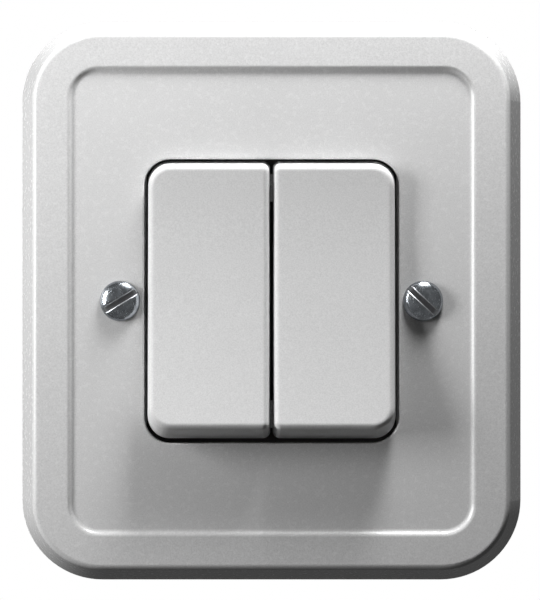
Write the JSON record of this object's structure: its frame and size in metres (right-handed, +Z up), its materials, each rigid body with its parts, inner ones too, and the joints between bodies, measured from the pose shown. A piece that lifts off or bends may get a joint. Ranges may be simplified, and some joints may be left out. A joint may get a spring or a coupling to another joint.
{
  "type": "light switch",
  "caption": "Flush wall light switch with a bevelled cover plate, side-by-side tilting rockers, a spring plunger contact mechanism and screw terminals",
  "frame": {"origin": "on the wall plane, midway between the two fixing screws", "axes": "+Z up, -Y out of the wall into the room, +X to the right as seen from the room; +Y runs into the wall box"},
  "size_m": [0.0996, 0.041, 0.1116],
  "materials": {
    "white_plastic": "moulded urea plastic, satin gloss",
    "zinc_screw": "bright zinc plated steel",
    "zinc_sheet": "zinc coated pressed sheet",
    "dark_thermoset": "dark compression moulding",
    "acetal": "natural acetal",
    "spring_steel": "drawn spring wire",
    "brass": "stamped strip brass",
    "silver": "silver contact alloy"
  },
  "bodies": {
    "housing": {"cover_plate": "white_plastic", "fixing_screws": "zinc_screw", "support_bracket": "zinc_sheet", "mechanism_base": "dark_thermoset", "bearing_frame": "dark_thermoset", "frame_screws": "zinc_screw", "terminal_screws": "zinc_screw", "clamp_washers": "zinc_sheet", "upper_terminal_left": "brass", "upper_terminal_right": "brass", "common_terminal_left": "brass", "common_terminal_right": "brass", "lower_terminal_left": "brass", "lower_terminal_right": "brass", "fixed_contacts_left": "silver", "fixed_contacts_right": "silver"},
    "rocker_left": {"rocker_left": "white_plastic", "spring_left": "spring_steel"},
    "rocker_right": {"rocker_right": "white_plastic", "spring_right": "spring_steel"},
    "plunger_left": {"plunger_left": "acetal"},
    "plunger_right": {"plunger_right": "acetal"},
    "contact_left": {"contact_bridge_left": "brass", "moving_contacts_left": "silver"},
    "contact_right": {"contact_bridge_right": "brass", "moving_contacts_right": "silver"}
  },
  "joints": [
    {"name": "rocker_left_tilt", "type": "hinge", "parent": "housing", "child": "rocker_left", "pos_m": [-0.01243, -0.002, 0], "axis": [1, 0, 0], "range_deg": [0, 8.4]},
    {"name": "rocker_right_tilt", "type": "hinge", "parent": "housing", "child": "rocker_right", "pos_m": [0.01243, -0.002, 0], "axis": [1, 0, 0], "range_deg": [0, 8.4]},
    {"name": "plunger_left_slide", "type": "slide", "parent": "rocker_left", "child": "plunger_left", "axis": [0, -0.9973, 0.0732], "range_m": [0, 0.0015], "stiffness_N_per_m": 300, "springref_m": -0.004, "deforming": ["spring_left"]},
    {"name": "plunger_right_slide", "type": "slide", "parent": "rocker_right", "child": "plunger_right", "axis": [0, -0.9973, 0.0732], "range_m": [0, 0.0015], "stiffness_N_per_m": 300, "springref_m": -0.004, "deforming": ["spring_right"]},
    {"name": "contact_left_tilt", "type": "hinge", "parent": "housing", "child": "contact_left", "pos_m": [-0.01243, 0.01, 0], "axis": [1, 0, 0], "range_deg": [-16.8, 0]},
    {"name": "contact_right_tilt", "type": "hinge", "parent": "housing", "child": "contact_right", "pos_m": [0.01243, 0.01, 0], "axis": [1, 0, 0], "range_deg": [-16.8, 0]}
  ],
  "couplings": [
    {"joint": "contact_left_tilt", "follows": "rocker_left_tilt", "ratio": -2},
    {"joint": "contact_right_tilt", "follows": "rocker_right_tilt", "ratio": -2}
  ]
}
